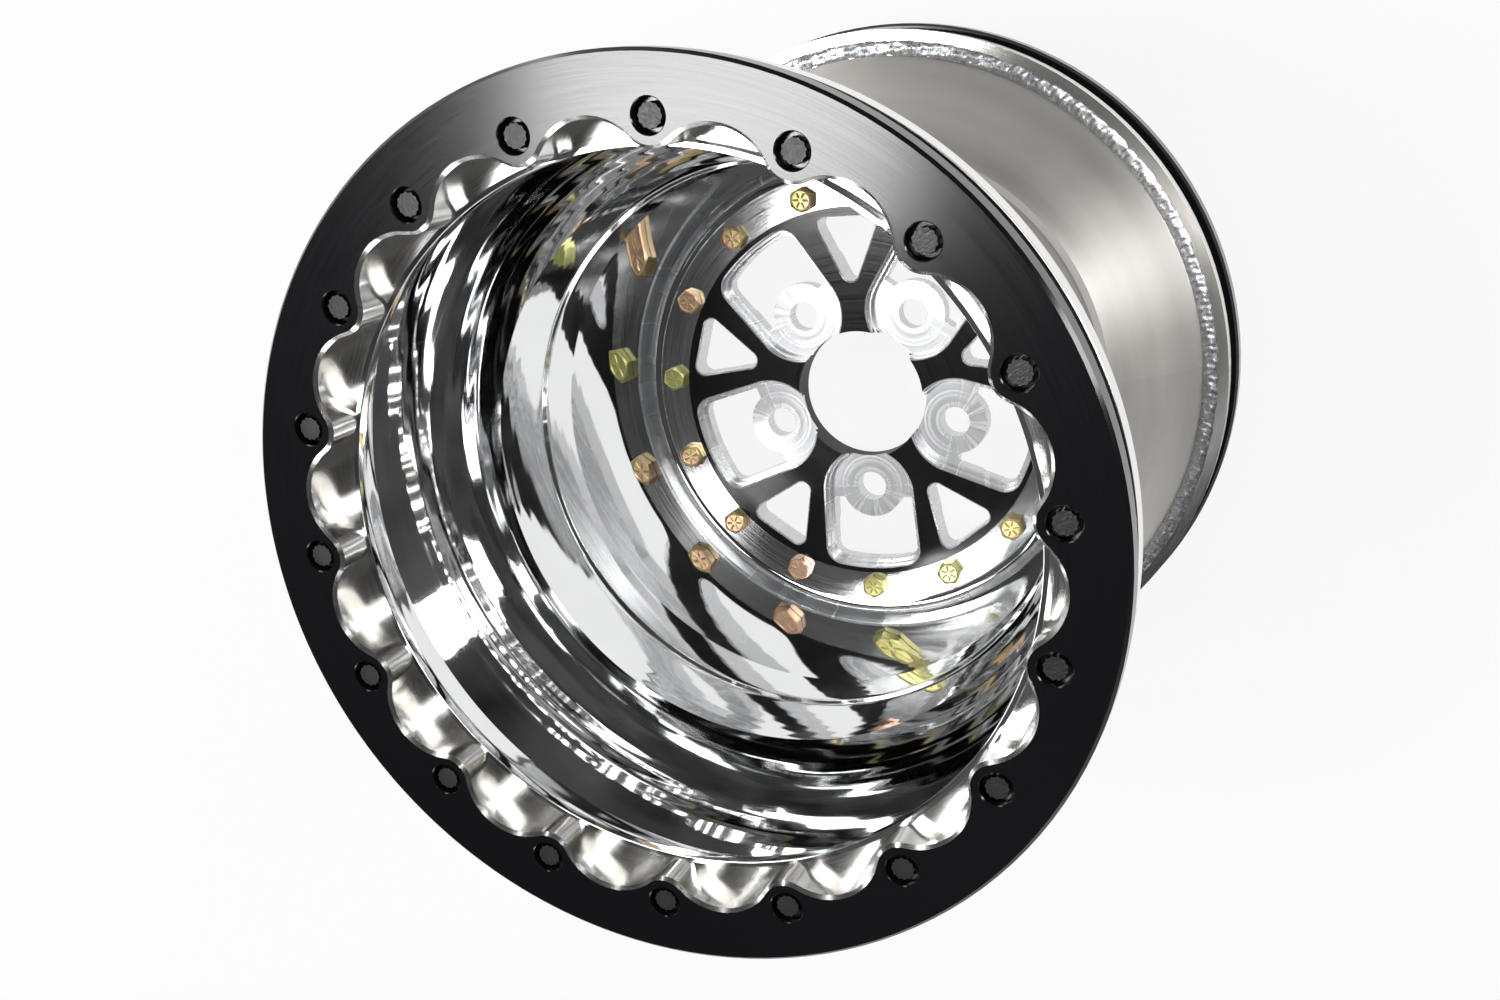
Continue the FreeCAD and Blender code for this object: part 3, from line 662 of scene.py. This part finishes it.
def goldBolts():
    angles = np.arange(goldBolt["steps"]) * turn / goldBolt["steps"]
    a = angles[:, None]
    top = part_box("center_bolts")[1].z
    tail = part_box("center_bolts")[0].z
    seat = top - goldBolt["height"]
    under = seat + goldBolt["washerHeight"]
    side = turn / 6
    swing = (a + side / 2) % side - side / 2
    # hexagon: half the width across flats over the cosine of the angle to the nearest flat
    hexagon = goldBolt["across"] / 2 / np.cos(swing)
    brim = top - (hexagon - goldBolt["crown"]) * goldBolt["slope"]
    wide = np.full_like(a, goldBolt["washerRadius"])
    # top: six radial ridges, each a cosine bump across its width
    reach = goldBolt["crown"] * np.linspace(1, 0, goldBolt["crownRows"])
    aside = np.abs(reach * np.sin(swing))
    ridge = 0.5 + 0.5 * np.cos(math.pi * np.clip(aside / goldBolt["markWidth"], 0, 1))
    low, high = goldBolt["markSpan"]
    ridge = ridge * ((reach > low) & (reach < high))
    fall = smoothStep((goldBolt["crown"] - reach) / goldBolt["markEdge"])
    crown = top - goldBolt["markHeight"] * (1 - ridge) * fall
    # shank: radius less a cosine groove that climbs one pitch a turn
    climb = np.linspace(tail + goldBolt["tailChamfer"], seat, goldBolt["rows"])
    groove = 0.5 + 0.5 * np.cos(turn * climb / goldBolt["pitch"] - a)
    shank = goldBolt["shank"] - goldBolt["thread"] * groove * (climb < seat - goldBolt["plainShank"])
    start = shank[:, :1] - goldBolt["tailChamfer"]
    radius = np.hstack([0 * a, start, shank, wide, wide, hexagon, hexagon, reach + 0 * a])
    levels = np.array([tail, tail, *climb, seat, under, under])
    height = np.hstack([levels + 0 * a, brim, crown])
    grids = []
    for step in range(goldBolt["count"]):
        bearing = goldBolt["lead"] + step * turn / goldBolt["count"]
        bolt = revolve(radius, height, angles + goldBolt["spin"] * step)
        bolt = bolt + goldBolt["circle"] * np.array([math.cos(bearing), math.sin(bearing), 0])
        grids.append((bolt, 0))
    piece = joinGrids("goldBolts", grids, [yellowZinc], goldBolt["crease"])
    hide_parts("center_bolts")
    print("gold bolts:", len(piece.data.polygons), "faces")


goldBolts()

holeRim = {"radius": 8 * mm, "width": 0.45 * mm, "inset": 0.01 * mm, "drop": 0.5 * mm, "steps": 64, "rows": 4}


def holeRims(name, face, side):
    # narrow bevel just inside the mouth of each counterbore
    angles = np.arange(holeRim["steps"]) * turn / holeRim["steps"]
    share = np.linspace(0, 1, holeRim["rows"])
    radius = holeRim["radius"] - holeRim["width"] * share
    height = face - side * (holeRim["inset"] + holeRim["drop"] * share)
    grids = []
    for step in range(scallops["count"]):
        bearing = scallops["phase"] + step * turn / scallops["count"]
        place = scallops["boltCircle"] * np.array([math.cos(bearing), math.sin(bearing), 0])
        rim = revolve(radius, height, angles) + place
        grids.append((rim if side > 0 else rim[:, ::-1], 0))
    piece = joinGrids(name, grids, [black])
    print(name + ":", len(piece.data.polygons), "faces")


holeRims("frontHoleRims", frontFace, 1)
holeRims("rearHoleRims", rearFace, -1)

seam = {
    "inner": 188.3 * mm,
    "width": 8.6 * mm,
    "height": 0.9 * mm,
    "fullness": 0.7,
    "mean": 0.72,
    "rippleShare": 0.2,
    "pitch": 3.4 * mm,
    "lag": 2.2,
    "drift": ((0.16, 37, 9), (0.13, 91, -7), (0.09, 213, 5)),  # height, waves a turn, lean across the bead
    "edge": 0.35 * mm,
    "edgeWaves": (53, 149),
    "steps": 1440,
    "rows": 12,
    "crease": 80,  # degrees
}


def seamBead(name, level, inner, side):
    # bead across the shoulder: height is a flattened sine, with overlapping ripples along it and slow drifts
    angles = np.arange(seam["steps"]) * turn / seam["steps"]
    a = angles[:, None]
    share = np.linspace(0, 1, seam["rows"])
    ripples = round(turn * inner / seam["pitch"])
    lag = seam["lag"] * (share - 0.5) ** 2
    wave = 0.5 + 0.5 * np.cos(ripples * a + turn * lag)
    drift = sum(size * np.sin(waves * a + lean * share) for size, waves, lean in seam["drift"])
    swell = seam["mean"] + seam["rippleShare"] * wave + drift
    height = seam["height"] * np.sin(math.pi * share) ** seam["fullness"] * swell
    edge = seam["edge"] * sum(np.sin(waves * a) for waves in seam["edgeWaves"]) * (share - 0.5)
    surface = revolve(inner + seam["width"] * share + edge, level + side * height, angles)
    surface = surface[:, ::-1] if side > 0 else surface
    piece = joinGrids(name, [(surface, 0)], [seamMetal], seam["crease"])
    print(name + ":", len(piece.data.polygons), "faces")


rearShoulder = rearFace + ringThickness + dish["shoulderDrop"] + dish["shoulderThickness"]
frontShoulder = frontFace - ringThickness - dish["shoulderDrop"] - dish["shoulderThickness"]
seamBead("rearSeamBead", rearShoulder, seam["inner"], 1)
seamBead("frontSeamBead", frontShoulder, dish["beadRadius"], -1)

# Carried-over CAD nodes: which faces get which finish
faces = {
    "flat": 0.95,  # upright part of a flat face's normal, at least
    "tilted": 0.9,  # of a chamfer's normal, at most
    "upright": 0.3,  # of a bore wall's normal, at most
    "frontSlack": 0.05 * mm,
    "shoulderSlack": 0.1 * mm,
    "clearOfBores": 8.3 * mm,
    "wavyReach": 185 * mm,
    "hubBore": 39.2 * mm,
    "boltHead": 5.6 * mm,
}


def ringFaces(centre, normal):
    # bare metal on the wavy edge and its chamfer, black elsewhere
    away = boltDistance(centre[:, 0], centre[:, 1])
    radius = np.hypot(centre[:, 0], centre[:, 1])
    near = (away > faces["clearOfBores"]) & (radius < faces["wavyReach"])
    return np.where(near & (np.abs(normal[:, 2]) < faces["tilted"]), 1, 0)


def centerFaces(centre, normal):
    # painted front face, black hub bore, bare metal elsewhere
    radius = np.hypot(centre[:, 0], centre[:, 1])
    front = (normal[:, 2] > faces["flat"]) & (centre[:, 2] > centerFront - faces["frontSlack"])
    bore = (radius < faces["hubBore"]) & (np.abs(normal[:, 2]) < faces["upright"])
    return np.where(front, 0, np.where(bore, 2, 1))


def innerHalfFaces(centre, normal):
    # machined shoulder and bead wall, dull metal elsewhere
    radius = np.hypot(centre[:, 0], centre[:, 1])
    machined = (radius > seam["inner"]) & (centre[:, 2] < rearShoulder + faces["shoulderSlack"])
    return np.where(machined, 1, 0)


def boltFaces(centre, normal):
    # flat tops of the heads are rougher than their sides, and a lighter grey that is painted highlight on the
    # upward faces
    away = boltDistance(centre[:, 0], centre[:, 1])
    return np.where((np.abs(normal[:, 2]) > faces["flat"]) & (away < faces["boltHead"]), 1, 0)


for ring in ("front_clamp_ring", "rear_clamp_ring"):
    dressNode(ring, [black, milledMetal], ringFaces)
dressNode("wheel_center", [centerFace, padMetal, boreBlack], centerFaces)
dressNode("inner_rim_half", [spunMetal, milledMetal], innerHalfFaces)
dressNode("joint_seal", [sealant])
dressNode("center_washers", [plainZinc])
dressNode("center_nuts", [plainZinc])
for bolts in ("front_clamp_bolts", "rear_clamp_bolts"):
    # head tops get the copy of the oxide with the painted highlight
    dressNode(bolts, [oxide, paintedSheenOxide], boltFaces)
print("CAD nodes dressed")

# Camera, at the photograph's place relative to the wheel
view = {
    "eye": (0.3125, 0.2026, 0.8862),
    "right": (0.93621, -0.08801, -0.34024),
    "down": (0.02077, -0.95258, 0.30357),
    "forward": (-0.35082, -0.29127, -0.88999),
    "sensor": 36,
    "lens": 38.65,
    "shift": (-0.0496, 0.0185),
}


def placeAt(thing, right, up, back, place):
    # turns a camera or a lamp to its own three directions, and moves it to its place
    columns = np.stack([right, up, back, np.array(place, float)], 1)
    thing.matrix_world = Matrix(np.vstack([columns, [0, 0, 0, 1]]).tolist())
    scene.collection.objects.link(thing)


def photoCamera():
    data = bpy.data.cameras.new("photoCamera")
    data.sensor_width = view["sensor"]
    data.lens = view["lens"]
    data.shift_x, data.shift_y = view["shift"]
    camera = bpy.data.objects.new("photoCamera", data)
    right, down, forward = (np.array(view[key]) for key in ("right", "down", "forward"))
    placeAt(camera, right, -down, -forward, view["eye"])
    scene.camera = camera


photoCamera()

studio = {
    "flat": 2.6,
    "reach": 3.4,
    "rise": 0.62,
    "drop": 0.05 * mm,
    "floorTone": (0.9, 0.9, 0.9, 1),
    "floorRoughness": 0.9,
    "shadowShare": 0.12,
    "steps": 96,
    "rows": 12,
    "world": (0.015, 0.085),
    "room": (2.2, 2.0),  # scale and detail of the dim patches in the world
}


def studioFloor():
    # pale sweep, flat and then a quarter wave up to a low rim; white to the camera and to mirrors
    angles = np.arange(studio["steps"]) * turn / studio["steps"]
    share = np.linspace(0, 1, studio["rows"])
    sweep = studio["flat"] + (studio["reach"] - studio["flat"]) * share
    radius = np.concatenate([[0, studio["flat"] / 2], sweep])
    lift = np.concatenate([[0, 0], studio["rise"] * (1 - np.cos(share * math.pi / 2))])
    places = revolve(radius, rearFace - studio["drop"] + lift, angles)
    index = np.arange(places.shape[0] * places.shape[1]).reshape(places.shape[:2])
    following = np.roll(index, -1, 0)
    quads = np.stack([index[:, :-1], index[:, 1:], following[:, 1:], following[:, :-1]], -1)
    mesh = bpy.data.meshes.new("studioFloor")
    mesh.from_pydata(places.reshape(-1, 3).tolist(), [], quads.reshape(-1, 4).tolist())
    floor = bpy.data.objects.new("studioFloor", mesh)
    scene.collection.objects.link(floor)
    material, tree, shader = startFinish("paleFloor", Base_Color=studio["floorTone"],
                                         Roughness=studio["floorRoughness"])
    ray = addNode(tree, "ShaderNodeLightPath")
    mirrored = math2(tree, "MAXIMUM", ray.outputs["Is Glossy Ray"], ray.outputs["Is Transmission Ray"])
    seen = math2(tree, "MAXIMUM", ray.outputs["Is Camera Ray"], mirrored)
    glow = addNode(tree, "ShaderNodeEmission", Color=(1, 1, 1, 1), Strength=1.0)
    mixed = addNode(tree, "ShaderNodeMixShader", i0=math2(tree, "MULTIPLY", seen, 1 - studio["shadowShare"]),
                    i1=shader.outputs[0], i2=glow.outputs[0])
    tree.links.new(mixed.outputs[0], tree.nodes["Material Output"].inputs["Surface"])
    mesh.materials.append(material)


def softbox(name, place, aim, size, power):
    data = bpy.data.lights.new(name, "AREA")
    data.shape = "RECTANGLE"
    data.size, data.size_y = size
    data.energy = power
    lamp = bpy.data.objects.new(name, data)
    back = np.array(place, float) - np.array(aim, float)
    back = back / np.linalg.norm(back)
    across = np.cross((0.0, 1.0, 0.0), back)
    across = across / np.linalg.norm(across)
    placeAt(lamp, across, np.cross(back, across), back, place)


def studioWorld():
    # dim room with soft patches, white where the camera looks past the floor
    world = bpy.data.worlds.new("studioWorld")
    world.use_nodes = True
    tree = world.node_tree
    backdrop = tree.nodes["Background"]
    backdrop.inputs["Color"].default_value = (1, 1, 1, 1)
    direction = addNode(tree, "ShaderNodeTexCoord").outputs["Generated"]
    room = spread(tree, noise(tree, direction, *studio["room"]), *studio["world"])
    toCamera = addNode(tree, "ShaderNodeLightPath").outputs["Is Camera Ray"]
    feed(tree, backdrop, Strength=math2(tree, "MAXIMUM", room, toCamera))
    scene.world = world


studioFloor()
wheelMiddle = (0, 0, 0.2)
softbox("keySoftbox", place=(-0.66, 0.13, 1.9), aim=(0.04, 0.15, 0.29), size=(0.54, 0.4), power=14)
softbox("leftSoftbox", place=(-2.0, -0.35, 0.75), aim=wheelMiddle, size=(0.5, 0.9), power=16)
softbox("rightSoftbox", place=(1.9, 0.62, 0.85), aim=wheelMiddle, size=(0.55, 0.5), power=12)
softbox("nearSoftbox", place=(0.2, -2.1, 0.75), aim=wheelMiddle, size=(2.2, 0.5), power=14)
softbox("fillSoftbox", place=(0.55, 0.4, 1.6), aim=(0, 0, 0.05), size=(0.6, 0.6), power=6)
softbox("farSoftbox", place=(-1.1, 1.8, 0.75), aim=wheelMiddle, size=(1.4, 0.5), power=8)
studioWorld()
print("camera and studio ready")
